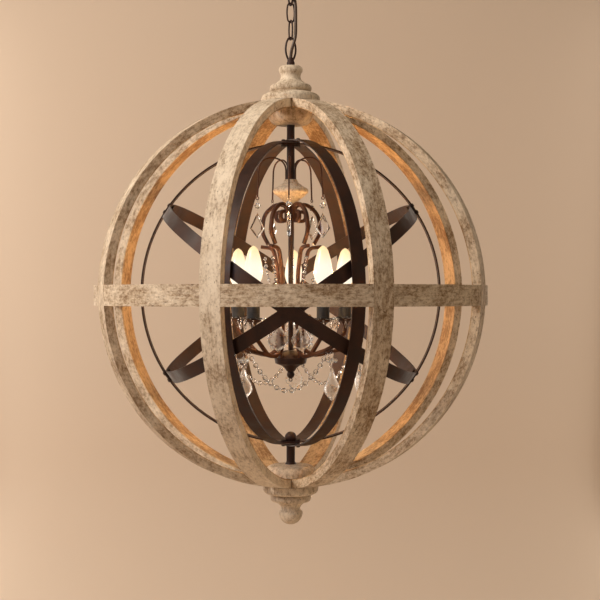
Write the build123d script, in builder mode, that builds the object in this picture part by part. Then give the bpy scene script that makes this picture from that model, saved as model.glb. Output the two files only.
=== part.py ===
from build123d import *
from math import atan2, cos, degrees, pi, radians, sin, sqrt, tan
import os

os.makedirs("parts", exist_ok=True)

# An orb chandelier: a cage of wooden ribs and a belt, five iron rings inside it, and a small
# five-light chandelier with crystals in the middle. Millimetres, +Z up, the front faces -Y.
# The origin is on the ceiling, over the middle. The orb's own heights are measured from the
# middle of its belt, and upright() puts them there.

# ---- ceiling fitting ----
crossbar_length = 104
crossbar_width = 22
crossbar_thickness = 2.5
slot_spacing = 76
slot_length = 20
slot_width = 5.2
nipple_radius = 5
canopy_radius = 62
canopy_height = 24
canopy_wall = 1.6
canopy_rim = 4

# ---- loops and chain ----
loop_width = 25
loop_height = 48.5
loop_wire = 3.8
loop_end_radius = 6.5
loop_sunk = 7.5
collar_height = 16.5
collar_radius = 7.8
collar_neck_radius = 6.6
thread_depth = 8
cable_socket_depth = 7
link_width = 19
link_height = 40
link_wire = 3.2
link_end_radius = 6.6
chain_play = 0.3
chain_turn = 25
cable_diameter = 6
cable_play = 0.3

# ---- wooden cage ----
cage_radius = 375
cage_half_height = 371
cage_rise = 4
rib_thickness = 17
rib_width = 38
rib_count = 8
rib_turn = 1.7
belt_height = 37.5
seat_gap = 0.3

# ---- turned wood ----
pipe_radius = 5
finial_radius = 56.5
finial_top = 441
boss_radius = 43
boss_depth = 30
base_radius = 53.5
base_bottom = -441
base_boss_radius = 48
base_boss_depth = 25

# ---- iron rings ----
ring_radius = 288
ring_thickness = 2.6
ring_width = 25
ring_gap = 0.4
ring_height = 5
upright_ring_turn = 23.5
cross_ring_slope = 34.2
cross_ring_tilt = 5.4
bolt_radius = 2
bolt_head_radius = 3.8
bolt_head_height = 3
nut_size = 4.6
nut_height = 3.4
bolt_pitch = 15.4
pole_bolt_x = 14
pole_bolt_y = 9

# ---- rods ----
stem_radius = 7.6
stem_bottom = 223
rod_radius = 4.75
rod_bottom = -125
nut_flange_radius = 9.5
nut_flange_height = 3
spool_bottom = 173.5
spool_radius = 34.2
rod_flange_radius = 6
rod_flange_height = 3
ball_radius = 11.5
shank_radius = 8.3
flare_radius = 10.5
flare_height = 5

# ---- the small chandelier ----
arm_count = 5
arm_turn = -3
bar = 7
bar_round = 1.8
candle_reach = 110
cup_bottom = -58
cup_radius = 13.5
cup_height = 12.5
dish_radius = 26
dish_thickness = 1.8
dish_rise = 2.6
dish_hole = 3.5
sleeve_radius = 12
sleeve_wall = 0.8
sleeve_top = 18
socket_bore = 7.1
socket_depth = 26
stud_radius = 3.1
stud_length = 7
bulb_base_radius = 6.8
bulb_radius = 17.7
bulb_height = 74
hub_top = -105.2
hub_radius = 29.5
hub_rim_top = -119.5
stud_reach = 28.3
arm_stud_radius = 1.9

# ---- crystals and their hooks ----
eye_radius = 2.8
eye_wire = 0.9
hook_radius = 2.6
hook_wire = 0.7
hook_play = 0.3
pin_radius = 0.6
wire_radius = 1.6
wire_reach = 66
wire_top = 263.5
wire_eye_height = 183
drop_eye_reach = 138
drop_eye_height = -103.8
leaf_eye_reach = 38
leaf_eye_height = -43.5
swag_eye_reach = 124
swag_eye_side = 3.2
swag_eye_height = -107.4
kite_width = 29
kite_height = 49
lower_width = 35
lower_height = 60
leaf_width = 40
leaf_height = 58
crystal_thickness = 8
swag_sag = 65
swag_bead_count = 13
swag_bead_radius = 5
swag_bead_thickness = 5
small_bead_radius = 2.2
leaf_turns = (28, -24, 0, 0, 0)
lower_turns = (30, 0, 0, 0, 0)

# ---- heights from the ceiling ----
loop_top = -(canopy_height + collar_height - loop_sunk + loop_height)
upper_pivot = loop_top + loop_wire / 2
link_pitch = link_height - link_wire
link_drop = link_wire + chain_play
loop_drop = (loop_wire + link_wire) / 2 + chain_play
middle_pivot = upper_pivot + loop_drop - link_pitch
lower_pivot = middle_pivot + link_drop - link_pitch
finial_rise = finial_top + collar_height - loop_sunk + loop_height
orb_height = lower_pivot + loop_drop + loop_wire / 2 - finial_rise

# ---- places worked out from the sizes above ----
rib_inside = cage_radius - rib_thickness
inside_half_height = cage_half_height - rib_thickness
inner_top = cage_rise + inside_half_height - seat_gap
inner_bottom = cage_rise - inside_half_height + seat_gap
ring_step = ring_thickness + ring_gap
arm_angle = arm_turn - 126
rib_angle = rib_turn - 67.5
wire_angle = arm_turn - 90


# A standing plane through the orb's middle: its x runs outwards at this angle, its y runs up.
def upright(angle=0, reach=0, height=0, side=0):
    out = Vector(cos(radians(angle)), sin(radians(angle)), 0)
    across = Vector(-sin(radians(angle)), cos(radians(angle)), 0)
    middle = out * reach + across * side + Vector(0, 0, orb_height + height)
    return Plane(origin=middle, x_dir=out, z_dir=across * -1)


# A point just off the ribs' outer or inner face near a pole, at this distance from the axis.
def outside_ribs(x, way):
    share = 1 + ((rib_width / 2) ** 2 - x**2) / cage_radius**2
    return (x, cage_rise + way * (cage_half_height * sqrt(share) + seat_gap))


def inside_ribs(x, way):
    share = 1 - x**2 / rib_inside**2
    return (x, cage_rise + way * (inside_half_height * sqrt(share) - seat_gap))


def save(part, name):
    part.label = name
    export_step(part, f"parts/{name}.step")


# A closed oval of round wire in a standing plane, made of four tangent arcs.
def oval(plane, width, height, end_radius, wire):
    half_width = (width - wire) / 2
    half_height = (height - wire) / 2
    rise = half_height - end_radius
    side_radius = (half_width**2 - end_radius**2 + rise**2) / (2 * (half_width - end_radius))
    side_turn = degrees(atan2(rise, side_radius - half_width))
    with BuildPart() as ring:
        with BuildLine(plane) as path:
            right = JernArc((half_width, 0), (0, 1), side_radius, side_turn)
            top = JernArc(right @ 1, right % 1, end_radius, 180 - 2 * side_turn)
            left = JernArc(top @ 1, top % 1, side_radius, 2 * side_turn)
            bottom = JernArc(left @ 1, left % 1, end_radius, 180 - 2 * side_turn)
            RadiusArc(bottom @ 1, right @ 0, -side_radius)
        with BuildSketch(Plane(origin=path.line @ 0, z_dir=path.line % 0)):
            Circle(wire / 2)
        sweep()
    return ring.part


# A bar of rounded square section swept along a path of runs and arcs in the plane at angle 0.
def scroll_bar(points, bends):
    with BuildPart() as piece:
        with BuildLine(upright()) as path:
            FilletPolyline(*points, radius=bends)
        with BuildSketch(Plane(origin=path.line @ 0, x_dir=(0, 1, 0), z_dir=path.line % 0)):
            RectangleRounded(bar, bar, bar_round)
        sweep()
    return piece.part


# A small wire eye. Its lowest point is where a hook hangs, on an axis at the given angle.
def eye(angle, reach, height, side=0, hinge_angle=None):
    turn = angle if hinge_angle is None else hinge_angle
    centre = upright(angle, reach, height + eye_radius, side).origin
    return Plane(origin=centre, z_dir=(-sin(radians(turn)), cos(radians(turn)), 0))


def hook_height(eye_height):
    return eye_height + eye_wire + hook_wire + hook_play - hook_radius


def hook(angle, reach, height, side=0, hinge_angle=None):
    turn = angle if hinge_angle is None else hinge_angle
    centre = upright(angle, reach, hook_height(height), side).origin
    return Plane(origin=centre, z_dir=(cos(radians(turn)), sin(radians(turn)), 0))


# ---- ceiling fitting ----
with BuildPart() as ceiling_crossbar:
    with BuildSketch(Plane.XY.offset(-crossbar_thickness)):
        RectangleRounded(crossbar_length, crossbar_width, 3)
        with GridLocations(slot_spacing, 0, 2, 1):
            SlotOverall(slot_length, slot_width, mode=Mode.SUBTRACT)
    extrude(amount=crossbar_thickness)
    with BuildSketch(Plane.XY.offset(-canopy_height - thread_depth + seat_gap)):
        Circle(nipple_radius)
    extrude(until=Until.NEXT)
save(ceiling_crossbar.part, "ceiling_crossbar")

with BuildPart() as canopy:
    with BuildSketch(Plane.XZ):
        with BuildLine():
            rim = Line((canopy_radius, 0), (canopy_radius, -canopy_rim))
            flat_edge = (14, -canopy_height)
            dome = ThreePointArc(rim @ 1, (48, -15), flat_edge)
            underside = Line(flat_edge, (nipple_radius + seat_gap, -canopy_height))
            hole = Line(underside @ 1, (nipple_radius + seat_gap, -canopy_height + canopy_wall))
            inner_flat = Line(hole @ 1, (14, -canopy_height + canopy_wall))
            inner_rim = (canopy_radius - canopy_wall, -canopy_rim + canopy_wall / 2)
            ThreePointArc(inner_flat @ 1, (47.2, -15 + canopy_wall), inner_rim)
            Polyline(inner_rim, (canopy_radius - canopy_wall, 0), (canopy_radius, 0))
        make_face()
    revolve(axis=Axis.Z)
save(canopy.part, "canopy")


# A collar with an oval loop. Its seat is at the given height, and it points up or down.
def collar_loop(seat, up, turn):
    way = 1 if up else -1
    thread_end = seat + way * thread_depth
    socket_end = seat + way * (collar_height - cable_socket_depth)
    loop_middle = seat + way * (collar_height - loop_sunk + loop_height / 2)
    plane = Plane(
        origin=(0, 0, loop_middle),
        x_dir=(cos(radians(turn)), sin(radians(turn)), 0),
        z_dir=(sin(radians(turn)), -cos(radians(turn)), 0),
    )
    with BuildPart() as fitting:
        with BuildSketch(Plane.XZ):
            with BuildLine():
                Polyline(
                    (0, seat),
                    (collar_radius, seat),
                    (collar_radius, seat + way * collar_height * 0.45),
                    (collar_neck_radius, seat + way * collar_height * 0.6),
                    (collar_neck_radius, seat + way * collar_height),
                    (0, seat + way * collar_height),
                    close=True,
                )
            make_face()
        revolve(axis=Axis.Z)
        add(oval(plane, loop_width, loop_height, loop_end_radius, loop_wire))
        with Locations((0, 0, (seat + thread_end) / 2)):
            Cylinder(nipple_radius + cable_play, thread_depth, mode=Mode.SUBTRACT)
        with Locations((0, 0, socket_end + way * loop_height / 4)):
            Cylinder(cable_diameter / 2 + cable_play, loop_height / 2, mode=Mode.SUBTRACT)
    return fitting.part


save(collar_loop(-canopy_height, False, chain_turn + 90), "canopy_loop")
save(collar_loop(orb_height + finial_top, True, chain_turn), "hanging_loop")


def chain_link(pivot, turn):
    plane = Plane(
        origin=(0, 0, pivot - link_pitch / 2),
        x_dir=(cos(radians(turn)), sin(radians(turn)), 0),
        z_dir=(sin(radians(turn)), -cos(radians(turn)), 0),
    )
    return oval(plane, link_width, link_height, link_end_radius, link_wire)


save(chain_link(upper_pivot + loop_drop, chain_turn), "chain_link_upper")
save(chain_link(middle_pivot + link_drop, chain_turn + 90), "chain_link_lower")

# The cable leaves the canopy's collar, passes the chain on the right and enters the orb's collar.
cable_top = -(canopy_height + collar_height - cable_socket_depth)
cable_end = orb_height + finial_top + collar_height - cable_socket_depth
beside_first_link = [Vector(9.4, -3.8, -76), Vector(9.8, -4.2, -108)]
beside_second_link = [Vector(9.8, -4.2, -108), Vector(9.6, -4.6, -142)]
first_split = beside_first_link[0] * 0.6 + beside_first_link[1] * 0.4
second_split = beside_second_link[0] * 0.4 + beside_second_link[1] * 0.6
upper_route = [(0, 0, cable_top), (0, 0, -47), (4.6, -1.6, -60), (9.4, -3.8, -76), first_split]
middle_route = [first_split, (9.8, -4.2, -108), second_split]
lower_route = [second_split, (9.6, -4.6, -142), (4.6, -4.8, -157), (0, 0, -173), (0, 0, cable_end)]


# A tube of straight runs and tangent arcs, each arc as large as its two runs allow.
def cable_stretch(points, name):
    corners = [Vector(*p) for p in points]
    bends = []
    for before, corner, after in zip(corners, corners[1:], corners[2:]):
        half_turn = radians((corner - before).get_angle(after - corner)) / 2
        shorter = min((corner - before).length, (after - corner).length)
        bends.append(0.45 * shorter / tan(half_turn))
    with BuildPart() as tube:
        with BuildLine() as path:
            FilletPolyline(*points, radius=bends)
        with BuildSketch(Plane(origin=path.line @ 0, z_dir=path.line % 0)):
            Circle(cable_diameter / 2)
        sweep()
    share = tube.part.volume / (pi * (cable_diameter / 2) ** 2 * path.wire().length)
    print(name, "bend radii", [round(b, 1) for b in bends], "volume over section x length", round(share, 4))
    save(tube.part, name)


cable_stretch(upper_route, "power_cable_upper")
cable_stretch(middle_route, "power_cable_middle")
cable_stretch(lower_route, "power_cable_lower")

# ---- wooden cage ----
# A rib is a half hoop, mitred at both poles so that eight meet round the rod. The hoops are a
# little lower than they are wide, and their middle lies a little over the belt's.
with BuildPart() as rib:
    with BuildSketch(upright(height=cage_rise)):
        Ellipse(cage_radius, cage_half_height)
        Ellipse(rib_inside, inside_half_height, mode=Mode.SUBTRACT)
        with Locations((-cage_radius, 0)):
            Rectangle(2 * cage_radius, 2 * cage_radius, mode=Mode.SUBTRACT)
    extrude(amount=rib_width / 2, both=True)
    with BuildSketch(Plane.XY.offset(orb_height - cage_radius)):
        half_mitre = 2 * cage_radius * tan(pi / rib_count)
        Polygon((0, 0), (2 * cage_radius, -half_mitre), (2 * cage_radius, half_mitre), align=None)
    extrude(amount=2 * cage_radius, mode=Mode.INTERSECT)
    with Locations((0, 0, orb_height)):
        Cylinder(pipe_radius + seat_gap, 2 * cage_radius, mode=Mode.SUBTRACT)

for number in range(rib_count // 2):
    with BuildPart() as hoop:
        with PolarLocations(0, 2, rib_angle + number * 360 / rib_count):
            add(rib.part)
    save(hoop.part, f"wooden_hoop_{number + 1}")

with BuildPart() as belt:
    with BuildSketch(Plane.XY.offset(orb_height - belt_height / 2)):
        Circle(cage_radius)
        Circle(rib_inside, mode=Mode.SUBTRACT)
        with PolarLocations(0, rib_count // 2, rib_angle, 180):
            Rectangle(2 * cage_radius + rib_width, rib_width, mode=Mode.SUBTRACT)
    extrude(amount=belt_height)
save(belt.part, "wooden_belt")

# ---- turned wood at the poles ----
bore = pipe_radius + seat_gap
with BuildPart() as top_finial:
    with BuildSketch(upright()):
        with BuildLine():
            cap = Line((bore, finial_top), (19, finial_top))
            bead = ThreePointArc(cap @ 1, (23, 434.5), (20.6, 427.5))
            neck = ThreePointArc(bead @ 1, (19.2, 419.5), (25, 411.5))
            flare = ThreePointArc(neck @ 1, (30.5, 407.2), (36.5, 405))
            disc = ThreePointArc(flare @ 1, (40.4, 398.8), (37, 392.2))
            groove = Line(disc @ 1, (35.5, 390.5))
            flange = ThreePointArc(groove @ 1, (43.5, 389.4), (50, 387))
            rim = ThreePointArc(flange @ 1, (55.2, 382.6), (finial_radius, 376.5))
            edge = Line(rim @ 1, outside_ribs(finial_radius, 1))
            seat = ThreePointArc(edge @ 1, outside_ribs(30, 1), outside_ribs(bore, 1))
            Line(seat @ 1, cap @ 0)
        make_face()
    revolve(axis=Axis.Z)
save(top_finial.part, "top_finial")

with BuildPart() as top_boss:
    with BuildSketch(upright()):
        stem_bore = stem_radius + seat_gap
        with BuildLine():
            crown = inside_ribs(stem_bore, 1)
            shoulder = inside_ribs(boss_radius, 1)
            upper = ThreePointArc(crown, inside_ribs(boss_radius / 2, 1), shoulder)
            side = Line(upper @ 1, (boss_radius, inner_top - boss_depth + 19))
            foot = (21, inner_top - boss_depth)
            belly = ThreePointArc(side @ 1, (38, inner_top - boss_depth + 6.2), foot)
            Polyline(belly @ 1, (stem_bore, foot[1]), crown)
        make_face()
    revolve(axis=Axis.Z)
save(top_boss.part, "top_boss")

boss_head = inner_bottom + base_boss_depth
with BuildPart() as bottom_boss:
    with BuildSketch(upright()):
        with BuildLine():
            crown = inside_ribs(bore, -1)
            shoulder = inside_ribs(base_boss_radius, -1)
            lower = ThreePointArc(crown, inside_ribs(base_boss_radius / 2, -1), shoulder)
            side = Line(lower @ 1, (base_boss_radius, shoulder[1] + 5))
            dome = ThreePointArc(side @ 1, (45.5, boss_head - 7), (37, boss_head - 2))
            Polyline(dome @ 1, (flare_radius + 2, boss_head), (bore, boss_head), crown)
        make_face()
    revolve(axis=Axis.Z)
save(bottom_boss.part, "bottom_boss")

pipe_end = base_bottom + 39
with BuildPart() as bottom_finial:
    with BuildSketch(upright()):
        with BuildLine():
            first = outside_ribs(bore, -1)
            seat = ThreePointArc(first, outside_ribs(base_radius / 2, -1), outside_ribs(base_radius, -1))
            edge = Line(seat @ 1, (base_radius, -370.5))
            rim = ThreePointArc(edge @ 1, (51.6, -377.2), (46, -381))
            groove = Line(rim @ 1, (36.5, -382.5))
            disc = ThreePointArc(groove @ 1, (39.2, -389.5), (35.5, -396))
            under = ThreePointArc(disc @ 1, (24.5, -400.5), (18.3, -408))
            neck = ThreePointArc(under @ 1, (18.6, -411.5), (21.4, -414.5))
            bead = ThreePointArc(neck @ 1, (23.2, -418.2), (22.6, -421.5))
            tip = ThreePointArc(bead @ 1, (16.5, -434), (2, base_bottom + 0.2))
            Polyline(tip @ 1, (0, base_bottom), (0, pipe_end), (bore, pipe_end), seat @ 0)
        make_face()
    revolve(axis=Axis.Z)
save(bottom_finial.part, "bottom_finial")


# ---- iron rings ----
# Layer 0 is the ring that faces the viewer. Higher layers lie outside it, lower ones inside.
def iron_ring(layer, normal, bolts, poles):
    radius = ring_radius + layer * ring_step
    middle = Vector(0, 0, orb_height + ring_height)
    with BuildPart() as ring:
        with BuildSketch(Plane(origin=middle, z_dir=normal)):
            Circle(radius)
            Circle(radius - ring_thickness, mode=Mode.SUBTRACT)
        extrude(amount=ring_width / 2, both=True)
        if poles:
            with Locations(middle + Vector(0, 0, radius)):
                Cylinder(stem_radius + seat_gap, 40, mode=Mode.SUBTRACT)
            with Locations(middle - Vector(0, 0, radius)):
                Cylinder(pipe_radius + seat_gap, 40, mode=Mode.SUBTRACT)
        with Locations(*[Plane(origin=middle + way * radius, z_dir=way) for way in bolts]):
            Cylinder(bolt_radius + 0.15, 20, mode=Mode.SUBTRACT)
    return ring.part


def crossing_bolts(slope):
    half_step = degrees(bolt_pitch / 2 / ring_radius)
    turns = [slope - half_step, slope + half_step, slope + 180 - half_step, slope + 180 + half_step]
    return [Vector(cos(radians(t)), 0, sin(radians(t))) for t in turns]


def pole_bolts(side):
    flat = sqrt(ring_radius**2 - pole_bolt_x**2 - pole_bolt_y**2)
    corners = [(pole_bolt_x, side * pole_bolt_y), (-pole_bolt_x, -side * pole_bolt_y)]
    return [Vector(x, y, z).normalized() for x, y in corners for z in (flat, -flat)]


def upright_normal(turn):
    return (cos(radians(turn)), sin(radians(turn)), 0)


def cross_normal(slope):
    rise = cos(radians(cross_ring_tilt))
    return (
        -sin(radians(slope)) * rise,
        -sin(radians(cross_ring_tilt)),
        cos(radians(slope)) * rise,
    )


cross_a_bolts = crossing_bolts(-cross_ring_slope)
cross_b_bolts = crossing_bolts(cross_ring_slope)
left_bolts = pole_bolts(1)
right_bolts = pole_bolts(-1)
face_bolts = cross_a_bolts + cross_b_bolts + left_bolts + right_bolts
save(iron_ring(0, (0, -1, 0), face_bolts, True), "iron_ring_face")
save(iron_ring(1, upright_normal(-upright_ring_turn), left_bolts, True), "iron_ring_left")
save(iron_ring(2, upright_normal(upright_ring_turn), right_bolts, True), "iron_ring_right")
save(iron_ring(-1, cross_normal(-cross_ring_slope), cross_a_bolts, False), "iron_ring_cross_a")
save(iron_ring(-2, cross_normal(cross_ring_slope), cross_b_bolts, False), "iron_ring_cross_b")


# A round-headed bolt through the layers between outer and inner, with its nut inside.
def ring_bolt(way, outer_layer, inner_layer):
    middle = Vector(0, 0, orb_height + ring_height)
    outside = ring_radius + outer_layer * ring_step + seat_gap
    inside = ring_radius + inner_layer * ring_step - ring_thickness - seat_gap
    with BuildPart() as bolt:
        with BuildSketch(Plane(origin=middle + way * outside, z_dir=way)):
            Circle(bolt_head_radius)
        extrude(amount=bolt_head_height)
        outer_face = bolt.faces().sort_by(Axis(middle, way))[-1]
        fillet(outer_face.edges(), bolt_head_height * 0.6)
        with BuildSketch(Plane(origin=middle + way * outside, z_dir=way)):
            Circle(bolt_radius)
        extrude(amount=-(outside - inside + nut_height))
        with BuildSketch(Plane(origin=middle + way * inside, z_dir=way)):
            RegularPolygon(nut_size, 6)
        extrude(amount=-nut_height)
    return bolt.part


with BuildPart() as ring_bolts:
    for way in cross_a_bolts:
        add(ring_bolt(way, 0, -1))
    for way in cross_b_bolts:
        add(ring_bolt(way, 0, -2))
    for way in left_bolts:
        add(ring_bolt(way, 1, 0))
    for way in right_bolts:
        add(ring_bolt(way, 2, 0))
save(ring_bolts.part, "ring_bolts")

# ---- rods ----
ring_inside = ring_radius - ring_thickness - seat_gap
with BuildPart() as centre_rod:
    with BuildSketch(upright()):
        pipe_top = finial_top + thread_depth - seat_gap
        stem_top = inner_top - 5
        nut_top = ring_height + ring_inside
        with BuildLine():
            Polyline(
                (0, pipe_top),
                (pipe_radius, pipe_top),
                (pipe_radius, stem_top),
                (stem_radius, stem_top),
                (stem_radius, nut_top),
                (nut_flange_radius, nut_top),
                (nut_flange_radius, nut_top - nut_flange_height),
                (stem_radius, nut_top - nut_flange_height),
                (stem_radius, stem_bottom),
                (rod_radius, stem_bottom),
                (rod_radius, spool_bottom),
                (rod_flange_radius, spool_bottom),
                (rod_flange_radius, spool_bottom - rod_flange_height),
                (rod_radius, spool_bottom - rod_flange_height),
                (rod_radius, rod_bottom),
                (0, rod_bottom),
                close=True,
            )
        make_face()
    revolve(axis=Axis.Z)
save(centre_rod.part, "centre_rod")

with BuildPart() as spool:
    with BuildSketch(upright()):
        spool_bore = rod_radius + seat_gap
        with BuildLine():
            top = Polyline((spool_bore, stem_bottom), (11.8, stem_bottom), (14.5, 218.5))
            steps = Polyline(top @ 1, (15.5, 216), (21, 212.5), (22, 210.5), (29.5, 207))
            belly = ThreePointArc(steps @ 1, (spool_radius, 200.5), (29.5, 194.5))
            Polyline(belly @ 1, (8, 176), (7, spool_bottom), (spool_bore, spool_bottom), top @ 0)
        make_face()
    revolve(axis=Axis.Z)
save(spool.part, "spool")

right_ring_bottom = ring_height - ring_radius - 2 * ring_step
ball_flat = ring_height - ring_inside
with BuildPart() as bottom_rod:
    with BuildSketch(upright()):
        tip = ball_flat + 9
        shank_top = right_ring_bottom - seat_gap
        with BuildLine():
            Polyline(
                (0, tip),
                (pipe_radius - seat_gap, tip),
                (pipe_radius - seat_gap, shank_top),
                (shank_radius, shank_top),
                (shank_radius, boss_head + flare_height),
                (flare_radius, boss_head + 1),
                (flare_radius, boss_head),
                (pipe_radius, boss_head),
                (pipe_radius, pipe_end + seat_gap),
                (0, pipe_end + seat_gap),
                close=True,
            )
        make_face()
    revolve(axis=Axis.Z)
    with Locations((0, 0, orb_height + ball_flat + ball_radius * 0.55)):
        Sphere(ball_radius)
    with BuildSketch(Plane.XY.offset(orb_height + ball_flat - ball_radius)):
        Circle(ball_radius + 1)
        Circle(pipe_radius - seat_gap, mode=Mode.SUBTRACT)
    extrude(amount=ball_radius, mode=Mode.SUBTRACT)
    with BuildSketch(Plane.XY.offset(orb_height + shank_top)):
        Circle(pipe_radius - seat_gap)
    extrude(amount=ball_flat - shank_top)
    with BuildSketch(Plane.XY.offset(orb_height + shank_top)):
        Circle(shank_radius)
    extrude(amount=-(shank_top - boss_head - flare_height))
save(bottom_rod.part, "bottom_rod")

# ---- scrolls and arms ----
scroll_reach = 60
with BuildPart() as upper_scroll:
    add(
        scroll_bar(
            [
                (46.5, 98.6),
                (scroll_reach, 122),
                (55, 158),
                (30, 177),
                (8.8, 172),
                (8.8, 143),
                (30, 143),
                (30, 161),
                (19.5, 161),
            ],
            [34, 34, 22, 9, 8, 8, 7],
        )
    )
with BuildPart() as upper_scrolls:
    with PolarLocations(0, arm_count, arm_angle):
        add(upper_scroll.part)
save(upper_scrolls.part, "upper_scrolls")

with BuildPart() as arm:
    # the long S: a lip at the top, down beside the rod, out and up to the candle
    add(
        scroll_bar(
            [
                (61, 94),
                (36, 91),
                (25.5, 44),
                (24, -60),
                (26.5, -104),
                (46, -117.5),
                (69, -112),
                (candle_reach, -72),
                (candle_reach, cup_bottom),
            ],
            [14, 120, 200, 16, 24, 30, 12],
        )
    )
    # the lower scroll, welded on, which carries the crystals
    add(
        scroll_bar(
            [(58, -115.2), (118, -101.5), (143, -93), (143, -79), (129, -79), (129, -88.5)],
            [60, 7.5, 6, 6],
        )
    )
    # the stud that stands on the hub's rim
    with Locations((stud_reach, 0, orb_height + (hub_rim_top - 106) / 2)):
        Cylinder(arm_stud_radius, -106 - hub_rim_top)
    # the pin and eye of the leaf crystal, and the eyes of the drop and of two swags
    with Locations((leaf_eye_reach - 6, 0, orb_height + leaf_eye_height + 2 * eye_radius)):
        Cylinder(1.2, 13, rotation=(0, 90, 0))
    with Locations(eye(0, leaf_eye_reach, leaf_eye_height), eye(0, drop_eye_reach, drop_eye_height)):
        Torus(eye_radius, eye_wire)
    for way in (1, -1):
        swag_side = way * swag_eye_side
        with Locations(eye(0, swag_eye_reach, swag_eye_height, swag_side, way * 126)):
            Torus(eye_radius, eye_wire)
with BuildPart() as arms:
    with PolarLocations(0, arm_count, arm_angle):
        add(arm.part)
save(arms.part, "arms")

with BuildPart() as bottom_hub:
    with BuildSketch(upright()):
        hub_bore = rod_radius + seat_gap
        with BuildLine():
            crown = Line((hub_bore, hub_top), (9, hub_top - 0.4))
            dome = ThreePointArc(crown @ 1, (19, -109.8), (25.4, hub_rim_top))
            rim = Polyline(
                dome @ 1, (stud_reach + 3, hub_rim_top), (hub_radius + 2, -122), (hub_radius, -131)
            )
            under = Line(rim @ 1, (23, -133.5))
            hollow = ThreePointArc(under @ 1, (14.5, -137.5), (8.6, -145))
            neck = Line(hollow @ 1, (5.6, -147.5))
            ball = ThreePointArc(neck @ 1, (7.4, -153), (2.5, -159.6))
            Polyline(
                ball @ 1,
                (0, -160),
                (0, rod_bottom - seat_gap),
                (hub_bore, rod_bottom - seat_gap),
                crown @ 0,
            )
        make_face()
    revolve(axis=Axis.Z)
    with Locations(Plane(origin=(0, 0, orb_height - 162.4), z_dir=(0, 1, 0))):
        Torus(eye_radius, eye_wire)
save(bottom_hub.part, "bottom_hub")

# ---- candles ----
cup_top = cup_bottom + cup_height
dish_top = cup_top + dish_thickness
candle_plane = upright(0, candle_reach)
candle_axis = Axis((candle_reach, 0, 0), (0, 0, 1))
stud_bottom = dish_top - stud_length
with BuildPart() as cup:
    with BuildSketch(candle_plane):
        with BuildLine():
            stem = Polyline((0, cup_bottom), (5.2, cup_bottom), (5.2, cup_bottom + 3))
            flare = ThreePointArc(stem @ 1, (8, cup_bottom + 6.5), (12.2, cup_bottom + 8.5))
            Polyline(
                flare @ 1,
                (cup_radius, cup_bottom + 9.5),
                (cup_radius, cup_top),
                (dish_hole, cup_top),
                (dish_hole, stud_bottom - seat_gap),
                (0, stud_bottom - seat_gap),
                stem @ 0,
            )
        make_face()
    revolve(axis=candle_axis)

with BuildPart() as dish:
    with BuildSketch(candle_plane):
        with BuildLine():
            flat = Polyline((dish_hole, dish_top), (dish_hole, cup_top), (cup_radius + 1, cup_top))
            rise = (dish_radius, cup_top + dish_rise)
            under = ThreePointArc(flat @ 1, (21, cup_top + 0.8), rise)
            lip = Line(under @ 1, (dish_radius - 0.6, cup_top + dish_rise + 1.2))
            over = ThreePointArc(lip @ 1, (20.5, dish_top + 0.8), (cup_radius + 1, dish_top))
            Line(over @ 1, flat @ 0)
        make_face()
    revolve(axis=candle_axis)

with BuildPart() as sleeve:
    with BuildSketch(Plane.XY.offset(orb_height + dish_top)):
        with Locations((candle_reach, 0)):
            Circle(sleeve_radius)
            Circle(sleeve_radius - sleeve_wall, mode=Mode.SUBTRACT)
    extrude(amount=sleeve_top - dish_top)

socket_top = sleeve_top - 3
bulb_seat = sleeve_top + seat_gap
with BuildPart() as socket:
    with BuildSketch(candle_plane):
        with BuildLine():
            Polyline(
                (0, stud_bottom),
                (stud_radius, stud_bottom),
                (stud_radius, dish_top),
                (sleeve_radius - sleeve_wall - seat_gap, dish_top),
                (sleeve_radius - sleeve_wall - seat_gap, socket_top),
                (socket_bore, socket_top),
                (socket_bore, socket_top - socket_depth),
                (0, socket_top - socket_depth),
                close=True,
            )
        make_face()
    revolve(axis=candle_axis)

with BuildPart() as bulb:
    with BuildSketch(candle_plane):
        with BuildLine():
            base_end = socket_top - socket_depth + seat_gap
            tip = bulb_seat + bulb_height
            base = Polyline(
                (0, base_end), (bulb_base_radius, base_end), (bulb_base_radius, bulb_seat)
            )
            neck = Line(base @ 1, (9, bulb_seat))
            widest = (bulb_radius, bulb_seat + 23.5)
            belly = ThreePointArc(neck @ 1, (14.9, bulb_seat + 10.5), widest)
            body = ThreePointArc(belly @ 1, (15.2, bulb_seat + 44), (10.4, bulb_seat + 61.5))
            point = ThreePointArc(body @ 1, (6.6, bulb_seat + 69.5), (1, tip - 0.4))
            Polyline(point @ 1, (0, tip), base @ 0)
        make_face()
    revolve(axis=candle_axis)


def five(master, name):
    with BuildPart() as group:
        with PolarLocations(0, arm_count, arm_angle):
            add(master)
    save(group.part, name)


five(cup.part, "candle_cups")
five(dish.part, "glass_dishes")
five(sleeve.part, "candle_sleeves")
five(socket.part, "lamp_sockets")
for number in range(arm_count):
    turn = arm_angle + number * 360 / arm_count
    with BuildPart() as turned_bulb:
        add(bulb.part, rotation=(0, 0, turn))
    save(turned_bulb.part, f"bulb_{number + 1}")

# ---- arched wires that carry the upper drops ----
with BuildPart() as arched_wire:
    with BuildLine(upright()) as path:
        start = stem_radius + wire_radius + seat_gap
        wire_end = wire_eye_height + 2 * eye_radius - 0.6
        FilletPolyline(
            (start, stem_bottom),
            (start, wire_top),
            (61.5, wire_top),
            (wire_reach, wire_end),
            radius=[23, 24],
        )
    with BuildSketch(Plane(origin=path.line @ 0, z_dir=path.line % 0)):
        Circle(wire_radius)
    sweep()
    with Locations(eye(0, wire_reach, wire_eye_height)):
        Torus(eye_radius, eye_wire)
with BuildPart() as arched_wires:
    with PolarLocations(0, arm_count, wire_angle):
        add(arched_wire.part)
save(arched_wires.part, "arched_wires")


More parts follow.
